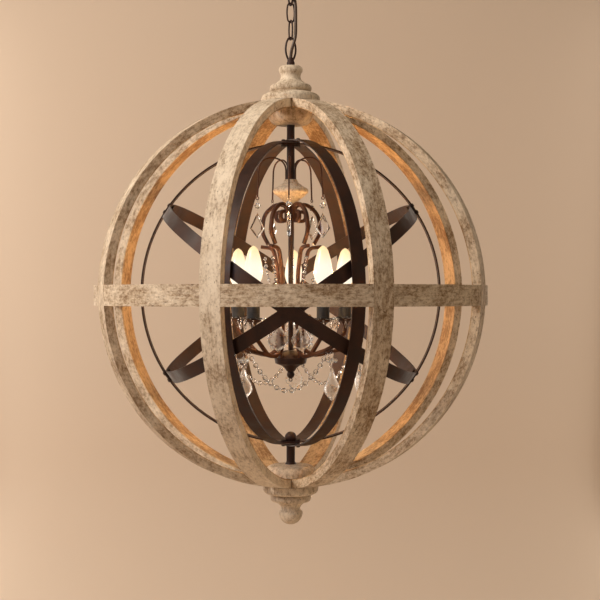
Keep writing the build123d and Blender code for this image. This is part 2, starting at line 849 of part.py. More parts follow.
# ---- crystals ----
# A flat crystal with bevelled faces, from half an outline measured down from its top.
def flat_crystal(plane, half_outline, height):
    outline = half_outline + [(-x, y) for x, y in reversed(half_outline) if x > 0]
    middle = -height * 0.55
    with BuildPart() as crystal:
        for offset, share in ((-0.5, 0.45), (0, 1), (0.5, 0.45)):
            points = [(x * share, middle + (y - middle) * share) for x, y in outline]
            with BuildSketch(plane.offset(offset * crystal_thickness)):
                Polygon(*points, align=None)
        loft(ruled=True)
    return crystal.part


def kite(width, height):
    return [(0, 0), (width / 2, -0.61 * height), (0, -height)]


# The pear outline: a narrow neck, hollow shoulders, a wide belly and a point.
def pear(width, height):
    half = width / 2
    shoulder = [(0.22 * half, -0.06 * height), (0.48 * half, -0.23 * height)]
    belly = [(0.69 * half, -0.39 * height), (0.96 * half, -0.55 * height), (half, -0.65 * height)]
    foot = [(0.62 * half, -0.8 * height), (0, -height)]
    return [(0.09 * half, 0)] + shoulder + belly + foot


# A faceted bead, an octagon that narrows to both ends of its length.
def bead(plane, radius, length):
    with BuildPart() as piece:
        for offset, share in ((-0.5, 0.45), (0, 1), (0.5, 0.45)):
            with BuildSketch(plane.offset(offset * length)):
                RegularPolygon(radius * share, 8)
        loft(ruled=True)
    return piece.part


# What hangs from one eye: a hook, a pin with its beads, and a crystal that may be turned.
def hanging_drop(angle, reach, eye_height, beads, cluster, top, outline, height, turn):
    hook_bottom = hook_height(eye_height) - hook_radius
    crystal_plane = upright(angle + 90 + turn, 0, 0)
    middle = upright(angle, reach, top).origin
    with BuildPart() as drop:
        with Locations(hook(angle, reach, eye_height)):
            Torus(hook_radius, hook_wire)
        with BuildSketch(Plane(origin=upright(angle, reach, hook_bottom).origin)):
            Circle(pin_radius)
        extrude(amount=top - 3 - hook_bottom)
        for bead_height, bead_radius in beads:
            bead_plane = Plane(origin=upright(angle, reach, bead_height).origin)
            add(bead(bead_plane, bead_radius, 1.7 * bead_radius))
        for number in range(6 if cluster else 0):
            spread = upright(angle, reach, cluster).origin
            around = radians(number * 60 + angle)
            place = spread + Vector(cos(around), sin(around), 0) * 7.4
            add(bead(Plane(origin=place), 4.2, 7))
        face = Plane(origin=middle, x_dir=crystal_plane.x_dir, z_dir=crystal_plane.z_dir)
        add(flat_crystal(face, outline, height))
    return drop.part


for number in range(arm_count):
    step = number * 360 / arm_count
    upper = hanging_drop(
        wire_angle + step,
        wire_reach,
        wire_eye_height,
        [(wire_eye_height - 11.5, 6.8)],
        0,
        wire_eye_height - 25,
        kite(kite_width, kite_height),
        kite_height,
        90,
    )
    save(upper, f"upper_drop_{number + 1}")
    lower = hanging_drop(
        arm_angle + step,
        drop_eye_reach,
        drop_eye_height,
        [(drop_eye_height - 15, 6.2)],
        drop_eye_height - 16,
        drop_eye_height - 29,
        pear(lower_width, lower_height),
        lower_height,
        lower_turns[number],
    )
    save(lower, f"lower_drop_{number + 1}")
    leaf = hanging_drop(
        arm_angle + step,
        leaf_eye_reach,
        leaf_eye_height,
        [],
        0,
        leaf_eye_height - 5,
        pear(leaf_width, leaf_height),
        leaf_height,
        leaf_turns[number],
    )
    save(leaf, f"leaf_drop_{number + 1}")


# A string of beads between the eyes of two neighbouring arms, in the plane of its two hooks.
def bead_swag(first_angle):
    start = upright(first_angle, swag_eye_reach, swag_eye_height, swag_eye_side).origin
    end = upright(first_angle + 72, swag_eye_reach, swag_eye_height, -swag_eye_side).origin
    hinge_angle = first_angle + 126
    hook_bottom = Vector(0, 0, hook_height(0) - hook_radius)
    middle = (start + end) / 2
    run = Plane(origin=middle, x_dir=end - start, z_dir=upright(hinge_angle).z_dir)
    low = Vector(0, 0, -2 * swag_sag)
    path = Edge.make_bezier(start + hook_bottom, middle + hook_bottom + low, end + hook_bottom)
    stops = 2 * swag_bead_count + 2
    places = [path.position_at(stop / stops) for stop in range(stops + 1)]
    with BuildPart() as swag:
        with Locations(
            hook(first_angle, swag_eye_reach, swag_eye_height, swag_eye_side, hinge_angle),
            hook(first_angle + 72, swag_eye_reach, swag_eye_height, -swag_eye_side, hinge_angle),
        ):
            Torus(hook_radius, hook_wire)
        for place, after in zip(places, places[1:]):
            with BuildSketch(Plane(origin=place, z_dir=after - place)):
                Circle(pin_radius)
            extrude(amount=(after - place).length + pin_radius / 3)
        for place in places[2:-2:2]:
            add(bead(Plane(origin=place), small_bead_radius, 2 * small_bead_radius))
        for place in places[1:-1:2]:
            face = Plane(origin=place, x_dir=run.x_dir, z_dir=run.z_dir)
            add(bead(face, swag_bead_radius, swag_bead_thickness))
    return swag.part


first_swag = bead_swag(arm_angle)
for number in range(arm_count):
    with BuildPart() as turned_swag:
        add(first_swag, rotation=(0, 0, number * 360 / arm_count))
    save(turned_swag.part, f"swag_{number + 1}")
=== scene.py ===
import math

import bmesh
import bpy
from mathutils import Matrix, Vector


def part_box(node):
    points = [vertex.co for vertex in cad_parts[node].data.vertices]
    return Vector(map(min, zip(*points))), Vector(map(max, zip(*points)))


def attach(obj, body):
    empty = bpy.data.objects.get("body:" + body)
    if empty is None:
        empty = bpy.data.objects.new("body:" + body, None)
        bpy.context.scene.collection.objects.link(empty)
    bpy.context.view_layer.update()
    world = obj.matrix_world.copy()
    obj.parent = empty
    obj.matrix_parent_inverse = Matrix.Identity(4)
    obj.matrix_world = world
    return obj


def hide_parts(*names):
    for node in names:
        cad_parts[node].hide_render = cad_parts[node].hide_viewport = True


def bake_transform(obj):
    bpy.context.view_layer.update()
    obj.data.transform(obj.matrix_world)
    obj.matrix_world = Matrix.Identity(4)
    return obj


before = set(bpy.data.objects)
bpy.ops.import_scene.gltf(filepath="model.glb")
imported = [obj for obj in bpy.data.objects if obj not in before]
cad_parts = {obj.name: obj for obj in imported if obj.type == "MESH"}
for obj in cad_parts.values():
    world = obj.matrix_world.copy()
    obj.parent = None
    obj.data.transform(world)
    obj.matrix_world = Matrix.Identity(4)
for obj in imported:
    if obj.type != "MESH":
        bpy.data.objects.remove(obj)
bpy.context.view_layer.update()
scene = bpy.context.scene
beltLow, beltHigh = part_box("wooden_belt")
orbMiddle = (beltLow.z + beltHigh.z) / 2
print("frame loaded, orb middle at", round(orbMiddle, 4))


# The camera stands level with the belt, as in the photograph.
cameraView = {"distance": 2.329, "lens": 72.5, "shiftX": 0.0155, "shiftY": -0.0077}

cameraData = bpy.data.cameras.new("camera")
cameraData.lens = cameraView["lens"]
cameraData.sensor_width = 36
cameraData.shift_x = cameraView["shiftX"]
cameraData.shift_y = cameraView["shiftY"]
camera = bpy.data.objects.new("camera", cameraData)
camera.location = (0, -cameraView["distance"], orbMiddle)
camera.rotation_euler = (math.radians(90), 0, 0)
scene.collection.objects.link(camera)
scene.camera = camera
print("camera placed")


# Small helpers for node trees.
def addNode(tree, kind, x=0, y=0):
    node = tree.nodes.new(kind)
    node.location = (x, y)
    return node


def mathNode(tree, operation, first, second=None, x=0, y=0):
    node = addNode(tree, "ShaderNodeMath", x, y)
    node.operation = operation
    for slot, value in enumerate((first, second)):
        if value is None:
            continue
        if isinstance(value, (int, float)):
            node.inputs[slot].default_value = value
        else:
            tree.links.new(value, node.inputs[slot])
    return node.outputs[0]


# The sum of some values, each times its share.
def sumNode(tree, parts, x=0, y=0):
    total = None
    for row, (value, share) in enumerate(parts):
        part = mathNode(tree, "MULTIPLY", value, share, x=x, y=y - 150 * row)
        total = mathNode(tree, "ADD", total, part, x=x + 150, y=y - 150 * row) if total else part
    return total


def noiseNode(tree, vector, scale, detail=5, roughness=0.55, x=0, y=0):
    node = addNode(tree, "ShaderNodeTexNoise", x, y)
    node.inputs["Scale"].default_value = scale
    node.inputs["Detail"].default_value = detail
    node.inputs["Roughness"].default_value = roughness
    tree.links.new(vector, node.inputs["Vector"])
    return node.outputs["Fac"]


def stretchNode(tree, vector, amounts, x=0, y=0):
    node = addNode(tree, "ShaderNodeVectorMath", x, y)
    node.operation = "MULTIPLY"
    node.inputs[1].default_value = amounts
    tree.links.new(vector, node.inputs[0])
    return node.outputs[0]


def mixNode(tree, share, first, second, x=0, y=0):
    node = addNode(tree, "ShaderNodeMix", x, y)
    node.data_type = "RGBA"
    for name, value in (("Factor", share), ("A", first), ("B", second)):
        sockets = [s for s in node.inputs if s.name == name and s.enabled]
        if isinstance(value, (int, float)):
            sockets[0].default_value = value
        elif isinstance(value, tuple):
            sockets[0].default_value = (*value, 1)
        else:
            tree.links.new(value, sockets[0])
    return [s for s in node.outputs if s.enabled][0]


def mapNode(tree, value, low, high, toLow=0.0, toHigh=1.0, x=0, y=0):
    node = addNode(tree, "ShaderNodeMapRange", x, y)
    node.interpolation_type = "SMOOTHSTEP"
    limits = {"From Min": low, "From Max": high, "To Min": toLow, "To Max": toHigh}
    for name, number in limits.items():
        node.inputs[name].default_value = number
    tree.links.new(value, node.inputs["Value"])
    return node.outputs["Result"]


def newGroup(name, inputs, outputs):
    tree = bpy.data.node_groups.new(name, "ShaderNodeTree")
    kinds = {"vector": "NodeSocketVector", "value": "NodeSocketFloat", "colour": "NodeSocketColor"}
    for socket, kind in inputs:
        tree.interface.new_socket(socket, in_out="INPUT", socket_type=kinds[kind])
    for socket, kind in outputs:
        tree.interface.new_socket(socket, in_out="OUTPUT", socket_type=kinds[kind])
    source = addNode(tree, "NodeGroupInput", -1400, 0)
    target = addNode(tree, "NodeGroupOutput", 900, 0)
    return tree, source, target


def newMaterial(name):
    material = bpy.data.materials.new(name)
    material.use_nodes = True
    tree = material.node_tree
    return material, tree, tree.nodes["Principled BSDF"]


def useGroup(tree, group, x=-400, y=0, **values):
    node = addNode(tree, "ShaderNodeGroup", x, y)
    node.node_tree = group
    for name, value in values.items():
        node.inputs[name].default_value = value
    return node


def addBump(tree, shader, height, strength, distance):
    bump = addNode(tree, "ShaderNodeBump", -200, -300)
    bump.inputs["Strength"].default_value = strength
    bump.inputs["Distance"].default_value = distance
    tree.links.new(height, bump.inputs["Height"])
    tree.links.new(bump.outputs["Normal"], shader.inputs["Normal"])


# The part of a noise's range over which a roughness runs from low to high.
noiseSpan = (0.3, 0.7)

# Weathered, whitewashed wood. Each layer of noise has its density along, across and into the grain,
# its detail and its roughness. The steps say between which values of its noise an effect comes in.
woodLook = {
    "bareWood": (0.20, 0.115, 0.050),
    "greyWood": (0.41, 0.285, 0.165),
    "wash": (0.79, 0.68, 0.53),
    "dirt": (0.07, 0.045, 0.025),
    # Inside the hoops: unwashed wood, painted lighter and golden for the bulbs' glow on it.
    "innerWoodGlowDark": (0.27, 0.145, 0.058),
    "innerWoodGlowLight": (0.68, 0.48, 0.27),
    "roughness": (0.6, 0.85),
    "bumpDepth": 0.0012,
    "noise": {
        "fine": ((46, 330, 330), 6, 0.62),
        "mottle": ((125, 185, 185), 6, 0.68),
        "cloud": ((17, 30, 30), 3, 0.55),
        "pit": ((300, 380, 380), 2, 0.4),
        "fleck": ((330, 420, 420), 3, 0.6),
    },
    "patchShares": {"mottle": 0.38, "cloud": 0.36, "fine": 0.26},
    "reliefShares": {"fine": 0.35, "mottle": 0.5},
    "steps": {
        "grey": (0.36, 0.62),
        "wash": (0.37, 0.66),
        "inner": (0.41, 0.58),
        "fleck": (0.55, 0.68),
        "pit": (0.69, 0.74),
        "streak": (0.60, 0.76),
    },
    "strength": {"fleck": 0.45, "pit": 0.8, "streak": 0.30},
}

# The wooden hoops and the belt, in metres and degrees. The grain runs along an arc of grainRadius,
# and the two halves of a hoop take it from places that lie alongShift and acrossShift apart.
hoopForm = {
    "halfWidth": 0.375,
    "halfHeight": 0.371,
    "rise": 0.004,
    "innerRadius": 0.3582,
    "innerFade": 0.0025,
    "grainRadius": 0.367,
    "alongShift": 2.37,
    "acrossShift": 0.61,
    "firstAngle": -65.8,
    "step": 45,
    "beltTurn": 20.8,
}


# A new group that turns its point about the upright axis, and the parts of that point.
def startSpace(name, place=None):
    inputs = [("Point", "vector"), ("Turn", "value")]
    tree, source, target = newGroup(name, inputs, [("Grain", "vector")])
    point = source.outputs["Point"]
    if place:
        point = place(tree, point)
    spin = addNode(tree, "ShaderNodeVectorRotate", -1000, 0)
    spin.rotation_type = "Z_AXIS"
    tree.links.new(point, spin.inputs["Vector"])
    tree.links.new(source.outputs["Turn"], spin.inputs["Angle"])
    parts = addNode(tree, "ShaderNodeSeparateXYZ", -800, 0)
    tree.links.new(spin.outputs[0], parts.inputs[0])
    return tree, target, parts.outputs


def finishSpace(tree, target, along, across, inward):
    grain = addNode(tree, "ShaderNodeCombineXYZ", 300, 0)
    for value, slot in ((along, "X"), (across, "Y"), (inward, "Z")):
        tree.links.new(value, grain.inputs[slot])
    tree.links.new(grain.outputs[0], target.inputs["Grain"])
    return tree


def radiusNode(tree, first, second):
    squares = [mathNode(tree, "MULTIPLY", part, part, x=-400, y=-200) for part in (first, second)]
    return mathNode(tree, "SQRT", mathNode(tree, "ADD", *squares, x=-200, y=-200), x=0, y=-200)


# The point from the middle of the hoops, stretched so that their ovals become round.
def roundedPoint(tree, point):
    shift = addNode(tree, "ShaderNodeVectorMath", -1200, 0)
    shift.operation = "SUBTRACT"
    shift.inputs[1].default_value = (0, 0, orbMiddle + hoopForm["rise"])
    tree.links.new(point, shift.inputs[0])
    upright = hoopForm["halfWidth"] / hoopForm["halfHeight"]
    return stretchNode(tree, shift.outputs[0], (1, 1, upright), -1100, 0)


# Grain that runs round a hoop: along its arc, across its width and out from the middle.
def makeArcSpace():
    tree, target, parts = startSpace("arcSpace", roundedPoint)
    out = mathNode(tree, "ABSOLUTE", parts["X"], x=-600, y=200)
    side = mathNode(tree, "SIGN", parts["X"], x=-600, y=50)
    angle = mathNode(tree, "ARCTAN2", parts["Z"], out, x=-400, y=200)
    arc = mathNode(tree, "MULTIPLY", angle, hoopForm["grainRadius"], x=-200, y=200)
    along = mathNode(tree, "MULTIPLY_ADD", side, hoopForm["alongShift"], x=0, y=200)
    tree.links.new(arc, along.node.inputs[2])
    across = mathNode(tree, "MULTIPLY_ADD", side, hoopForm["acrossShift"], x=0, y=0)
    tree.links.new(parts["Y"], across.node.inputs[2])
    return finishSpace(tree, target, along, across, radiusNode(tree, out, parts["Z"]))


# Grain that runs round the belt.
def makeRoundSpace():
    tree, target, parts = startSpace("roundSpace")
    angle = mathNode(tree, "ARCTAN2", parts["Y"], parts["X"], x=-400, y=200)
    along = mathNode(tree, "MULTIPLY", angle, hoopForm["grainRadius"], x=-200, y=200)
    return finishSpace(tree, target, along, parts["Z"], radiusNode(tree, parts["X"], parts["Y"]))


# Grain that runs up a turned piece.
def makeTurnedSpace():
    tree, target, parts = startSpace("turnedSpace")
    return finishSpace(tree, target, parts["Z"], parts["X"], parts["Y"])


# The wood itself: patches of wash worn down to grey and bare wood, with flecks, pits and streaks; inside
# the hoops, bare wood with a painted golden glow from the bulbs.
def makeWashedWood():
    tree, source, target = newGroup(
        "washedWood",
        [("Grain", "vector"), ("Wash", "value"), ("Inside", "value")],
        [("Color", "colour"), ("Roughness", "value"), ("Height", "value")],
    )
    layers = {}
    for row, (name, (density, detail, roughness)) in enumerate(woodLook["noise"].items()):
        level = 500 - 200 * row
        stretched = stretchNode(tree, source.outputs["Grain"], density, -1200, level)
        layers[name] = noiseNode(tree, stretched, 1, detail, roughness, -1000, level)

    def comeIn(value, effect, x, y):
        return mapNode(tree, value, *woodLook["steps"][effect], x=x, y=y)

    def smallMarks(layer, effect, y):
        shown = comeIn(layers[layer], effect, -500, y)
        return mathNode(tree, "MULTIPLY", shown, woodLook["strength"][effect], x=-350, y=y)

    def sumLayers(shares, x, y):
        parts = [(layers[name], share) for name, share in woodLook[shares].items()]
        return sumNode(tree, parts, x, y)

    patch = sumLayers("patchShares", -800, 300)
    washed = mathNode(tree, "ADD", patch, source.outputs["Wash"], x=-350, y=300)
    grey = comeIn(layers["mottle"], "grey", -500, 600)
    base = mixNode(tree, grey, woodLook["bareWood"], woodLook["greyWood"], x=-200, y=550)
    pale = mixNode(tree, comeIn(washed, "wash", -200, 300), base, woodLook["wash"], x=0, y=400)
    flecks = smallMarks("fleck", "fleck", -250)
    flecked = mixNode(tree, flecks, pale, woodLook["wash"], x=150, y=400)
    # Inside the hoops: bare wood with a painted golden glow from the bulbs.
    innerGlowShare = comeIn(patch, "inner", -200, 0)
    inner = mixNode(tree, innerGlowShare, woodLook["innerWoodGlowDark"], woodLook["innerWoodGlowLight"], x=0, y=100)
    faced = mixNode(tree, source.outputs["Inside"], flecked, inner, x=300, y=300)
    pits, streaks = smallMarks("pit", "pit", -400), smallMarks("fine", "streak", -550)
    dark = mathNode(tree, "MAXIMUM", pits, streaks, x=200, y=-250)
    worn = mixNode(tree, dark, faced, woodLook["dirt"], x=500, y=300)
    sheen = mapNode(tree, layers["mottle"], *noiseSpan, *woodLook["roughness"], x=500, y=0)
    raised = sumLayers("reliefShares", 200, -500)
    height = mathNode(tree, "SUBTRACT", raised, dark, x=450, y=-450)
    for value, slot in ((worn, "Color"), (sheen, "Roughness"), (height, "Height")):
        tree.links.new(value, target.inputs[slot])
    return tree


arcSpace, roundSpace, turnedSpace = makeArcSpace(), makeRoundSpace(), makeTurnedSpace()
washedWood = makeWashedWood()


def makeWood(name, space, turn, wash, innerRadius=None, relief=0.6):
    material, tree, shader = newMaterial(name)
    place = addNode(tree, "ShaderNodeTexCoord", -1000, 0)
    grain = useGroup(tree, space, -800, 0, Turn=turn)
    tree.links.new(place.outputs["Object"], grain.inputs["Point"])
    wood = useGroup(tree, washedWood, -500, 0, Wash=wash)
    tree.links.new(grain.outputs["Grain"], wood.inputs["Grain"])
    # The inner faces take the wood with the painted golden bulb glow.
    if innerRadius:
        parts = addNode(tree, "ShaderNodeSeparateXYZ", -700, -250)
        tree.links.new(grain.outputs["Grain"], parts.inputs[0])
        fadeEnd = innerRadius + hoopForm["innerFade"]
        inside = mapNode(tree, parts.outputs["Z"], innerRadius, fadeEnd, 1.0, 0.0, x=-600, y=-400)
        tree.links.new(inside, wood.inputs["Inside"])
    tree.links.new(wood.outputs["Color"], shader.inputs["Base Color"])
    tree.links.new(wood.outputs["Roughness"], shader.inputs["Roughness"])
    addBump(tree, shader, wood.outputs["Height"], relief, woodLook["bumpDepth"])
    return material


# Dark iron and bronze: a dark and a light tone, mixed by wear.
metalLook = {
    "cloudScale": 38,
    "fineScale": 900,
    "cloudShare": 0.75,
    "fineShare": 0.25,
    "steps": (0.38, 0.66),
    "roughness": (0.42, 0.62),
    "bumpDepth": 0.0003,
}


def makeWornMetal():
    tree, source, target = newGroup(
        "wornMetal",
        [("Point", "vector"), ("Dark", "colour"), ("Light", "colour")],
        [("Color", "colour"), ("Roughness", "value"), ("Height", "value")],
    )
    point = source.outputs["Point"]
    cloud = noiseNode(tree, point, metalLook["cloudScale"], 5, 0.6, -1000, 300)
    fine = noiseNode(tree, point, metalLook["fineScale"], 3, 0.5, -1000, 0)
    parts = [(cloud, metalLook["cloudShare"]), (fine, metalLook["fineShare"])]
    wear = sumNode(tree, parts, -700, 300)
    share = mapNode(tree, wear, *metalLook["steps"], x=-300, y=200)
    colour = mixNode(tree, share, source.outputs["Dark"], source.outputs["Light"], x=0, y=200)
    sheen = mapNode(tree, cloud, *noiseSpan, *metalLook["roughness"], x=0, y=0)
    for value, slot in ((colour, "Color"), (sheen, "Roughness"), (fine, "Height")):
        tree.links.new(value, target.inputs[slot])
    return tree


wornMetal = makeWornMetal()


def makeMetal(name, dark, light, metallic, bump=0.25):
    material, tree, shader = newMaterial(name)
    place = addNode(tree, "ShaderNodeTexCoord", -800, 0)
    metal = useGroup(tree, wornMetal, -500, 0, Dark=(*dark, 1), Light=(*light, 1))
    tree.links.new(place.outputs["Object"], metal.inputs["Point"])
    tree.links.new(metal.outputs["Color"], shader.inputs["Base Color"])
    tree.links.new(metal.outputs["Roughness"], shader.inputs["Roughness"])
    shader.inputs["Metallic"].default_value = metallic
    addBump(tree, shader, metal.outputs["Height"], bump, metalLook["bumpDepth"])
    return material


# Glass with an uneven polish: its roughness runs from clearness to cloudiness.
def makeGlass(name, colour, ior, cloudiness, clearness=0.0):
    material, tree, shader = newMaterial(name)
    shader.inputs["Base Color"].default_value = (*colour, 1)
    shader.inputs["Transmission Weight"].default_value = 1
    shader.inputs["IOR"].default_value = ior
    place = addNode(tree, "ShaderNodeTexCoord", -800, 0)
    cloud = noiseNode(tree, place.outputs["Object"], 120, 2, 0.5, -600, 0)
    roughness = mapNode(tree, cloud, *noiseSpan, clearness, cloudiness, x=-400)
    tree.links.new(roughness, shader.inputs["Roughness"])
    return material


# Heights are from the middle of the orb. The outline's colour comes in over the slants of rim.
bulbGlow = {
    "heart": (1.0, 0.95, 0.80),
    "tip": (1.0, 0.80, 0.42),
    "edge": (0.90, 0.55, 0.18),
    "glass": (0.25, 0.19, 0.12),
    "fadeFrom": 0.050,
    "fadeTo": 0.092,
    "rim": (0.32, 1.0),
    "strength": 0.97,
}


# A lit candle bulb: nearly white low down, golden towards its tip and at its outline.
def makeBulb():
    material, tree, shader = newMaterial("litBulb")
    shader.inputs["Base Color"].default_value = (*bulbGlow["glass"], 1)
    shader.inputs["Roughness"].default_value = 0.12
    place = addNode(tree, "ShaderNodeTexCoord", -1200, 0)
    parts = addNode(tree, "ShaderNodeSeparateXYZ", -1000, 0)
    tree.links.new(place.outputs["Object"], parts.inputs[0])
    low, high = orbMiddle + bulbGlow["fadeFrom"], orbMiddle + bulbGlow["fadeTo"]
    rise = mapNode(tree, parts.outputs["Z"], low, high, x=-800, y=100)
    body = mixNode(tree, rise, bulbGlow["heart"], bulbGlow["tip"], x=-600, y=100)
    facing = addNode(tree, "ShaderNodeLayerWeight", -1000, -250)
    facing.inputs["Blend"].default_value = 0.3
    rim = mapNode(tree, facing.outputs["Facing"], *bulbGlow["rim"], x=-800, y=-250)
    colour = mixNode(tree, rim, body, bulbGlow["edge"], x=-400, y=0)
    tree.links.new(colour, shader.inputs["Emission Color"])
    shader.inputs["Emission Strength"].default_value = bulbGlow["strength"]
    return material


def makePlain(name, dark, light, roughness, scale):
    material, tree, shader = newMaterial(name)
    place = addNode(tree, "ShaderNodeTexCoord", -800, 0)
    cloud = noiseNode(tree, place.outputs["Object"], scale, 4, 0.6, -600, 0)
    colour = mixNode(tree, mapNode(tree, cloud, 0.35, 0.65, x=-400), dark, light, x=-200)
    smooth, rough = roughness - 0.08, roughness + 0.08
    sheen = mapNode(tree, cloud, *noiseSpan, smooth, rough, x=-400, y=-200)
    tree.links.new(colour, shader.inputs["Base Color"])
    tree.links.new(sheen, shader.inputs["Roughness"])
    addBump(tree, shader, cloud, 0.1, 0.0003)
    return material


# The dark iron also dresses the bottom hub, where it stands in as painted shade.
hubShadeAndDarkIron = makeMetal("shadedHubAndDarkIron", (0.023, 0.0105, 0.0085), (0.050, 0.021, 0.014), 0.3)
bronzeIron = makeMetal("bronzeIron", (0.050, 0.019, 0.011), (0.13, 0.052, 0.025), 0.45)
boltIron = makeMetal("boltIron", (0.04, 0.03, 0.028), (0.10, 0.08, 0.07), 0.8, 0.4)
crystalGlass = makeGlass("cutCrystal", (1, 1, 1), 1.55, 0.02)
plateCrystal = makeGlass("plateCrystal", (1, 1, 1), 1.5, 0.42, clearness=0.16)
dishGlass = makeGlass("dishGlass", (0.97, 0.98, 0.98), 1.5, 0.05)
litBulb = makeBulb()
sleeveBlack = makePlain("candleBlack", (0.016, 0.018, 0.022), (0.03, 0.032, 0.038), 0.55, 90)
socketBlack = makePlain("socketBlack", (0.02, 0.02, 0.02), (0.04, 0.04, 0.04), 0.6, 200)
cableBrown = makePlain("cableBrown", (0.045, 0.026, 0.015), (0.09, 0.055, 0.033), 0.4, 300)
turnedWood = makeWood("turnedWood", turnedSpace, 0.4, 0.045, relief=0.25)
beltTurn = math.radians(hoopForm["beltTurn"])
beltWood = makeWood("beltWood", roundSpace, beltTurn, -0.005, hoopForm["innerRadius"])
print("materials made")


def dress(material, *nodes):
    for name in nodes:
        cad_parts[name].data.materials.clear()
        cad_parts[name].data.materials.append(material)


# How much more or less wash each hoop keeps. This is painted light and shade: the fourth hoop, lit at the
# front left, comes out paler than the others.
ribPaintedLight = [-0.015, 0.01, 0.0, 0.06]
for number, wash in enumerate(ribPaintedLight):
    turn = math.radians(-(hoopForm["firstAngle"] + hoopForm["step"] * number))
    ribWood = makeWood(f"ribWood{number + 1}", arcSpace, turn, wash, hoopForm["innerRadius"])
    dress(ribWood, f"wooden_hoop_{number + 1}")
dress(beltWood, "wooden_belt")
dress(turnedWood, "top_finial", "top_boss", "bottom_boss", "bottom_finial", "spool")
# The bottom hub takes the dark iron, darker than the bronze arms around it: painted shade for the shadow
# it hangs in.
hubShadeAndIronNodes = ["canopy", "ceiling_crossbar", "canopy_loop", "hanging_loop"]
hubShadeAndIronNodes += ["chain_link_upper", "chain_link_lower", "centre_rod", "bottom_rod", "bottom_hub"]
hubShadeAndIronNodes += [f"iron_ring_{name}" for name in ("face", "left", "right", "cross_a", "cross_b")]
dress(hubShadeAndDarkIron, *hubShadeAndIronNodes)
dress(boltIron, "ring_bolts")
dress(bronzeIron, "arched_wires", "upper_scrolls", "arms", "candle_cups")
dress(sleeveBlack, "candle_sleeves")
dress(socketBlack, "lamp_sockets")
dress(dishGlass, "glass_dishes")
for number in range(1, 6):
    dress(litBulb, f"bulb_{number}")
    dress(crystalGlass, f"swag_{number}")


def smoothByAngle(piece, degreesLimit):
    piece.data.polygons.foreach_set("use_smooth", [True] * len(piece.data.polygons))
    limit = math.radians(degreesLimit)
    mesh = bmesh.new()
    mesh.from_mesh(piece.data)
    for edge in mesh.edges:
        edge.smooth = len(edge.link_faces) == 2 and edge.calc_face_angle(0) < limit
    mesh.to_mesh(piece.data)
    mesh.free()


# The power cable: three stretches, each a tube round its own smooth line. Points are in millimetres.
millimetre = 0.001
cableRun = {
    "diameter": 0.006,
    "sides": 20,
    "upper": [(0, 0, -33.5), (0, 0, -47), (4.6, -1.6, -60), (9.4, -3.8, -76), (9.56, -3.96, -88.8)],
    "middle": [(9.56, -3.96, -88.8), (9.8, -4.2, -108), (9.68, -4.44, -128.4)],
    "lower": [
        (9.68, -4.44, -128.4), (9.6, -4.6, -142), (4.6, -4.8, -157), (0, 0, -173), (0, 0, -188.2),
    ],
}


def smoothLine(points):
    curve = bpy.data.curves.new("cableLine", "CURVE")
    curve.dimensions = "3D"
    curve.resolution_u = 24
    spline = curve.splines.new("NURBS")
    spline.points.add(len(points) - 1)
    for point, place in zip(spline.points, points):
        point.co = (*[millimetre * value for value in place], 1)
    spline.order_u = 3
    spline.use_endpoint_u = True
    holder = bpy.data.objects.new("cableLine", curve)
    mesh = bpy.data.meshes.new_from_object(holder)
    line = [vertex.co.copy() for vertex in mesh.vertices]
    bpy.data.objects.remove(holder)
    bpy.data.meshes.remove(mesh)
    return line


def tubeAlong(name, line, radius, sides):
    mesh = bmesh.new()
    rows = []
    normal = Vector((1, 0, 0))
    for number, place in enumerate(line):
        before, after = line[max(number - 1, 0)], line[min(number + 1, len(line) - 1)]
        way = (after - before).normalized()
        normal = (normal - way * normal.dot(way)).normalized()
        other = way.cross(normal)
        row = []
        for side in range(sides):
            turn = 2 * math.pi * side / sides
            out = math.cos(turn) * normal + math.sin(turn) * other
            row.append(mesh.verts.new(place + radius * out))
        rows.append(row)
    for lower, upper in zip(rows, rows[1:]):
        for side in range(sides):
            after = (side + 1) % sides
            mesh.faces.new((lower[side], lower[after], upper[after], upper[side]))
    mesh.faces.new(rows[0][::-1])
    mesh.faces.new(rows[-1])
    bmesh.ops.recalc_face_normals(mesh, faces=mesh.faces[:])
    data = bpy.data.meshes.new(name)
    mesh.to_mesh(data)
    mesh.free()
    piece = bpy.data.objects.new(name, data)
    scene.collection.objects.link(piece)
    smoothByAngle(piece, 40)
    return piece


# The two bodies of each stretch, and the heights between which it bends from one to the other.
cableJoints = {
    "upper": ("ceiling", "upper_link", -0.045, -0.086),
    "middle": ("upper_link", "lower_link", -0.092, -0.125),
    "lower": ("lower_link", "orb", -0.131, -0.172),
}
for name, (first, second, start, end) in cableJoints.items():
    line = smoothLine(cableRun[name])
    piece = tubeAlong(f"cable_{name}", line, cableRun["diameter"] / 2, cableRun["sides"])
    piece.data.materials.append(cableBrown)
    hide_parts(f"power_cable_{name}")
    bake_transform(piece)
print("cable made")


# The five arms and, between them, the five arched wires, in degrees and metres.
armPlan = {"count": 5, "firstArm": -129, "firstWire": -93, "step": 72, "candleReach": 0.110}
armSteps = [armPlan["step"] * number for number in range(armPlan["count"])]
armAngles = [armPlan["firstArm"] + step for step in armSteps]
wireAngles = [armPlan["firstWire"] + step for step in armSteps]
beadStretch = 1.7  # length of a bead as a share of its radius


def orbPoint(angle, reach, height):
    turn = math.radians(angle)
    return Vector((reach * math.cos(turn), reach * math.sin(turn), orbMiddle + height))


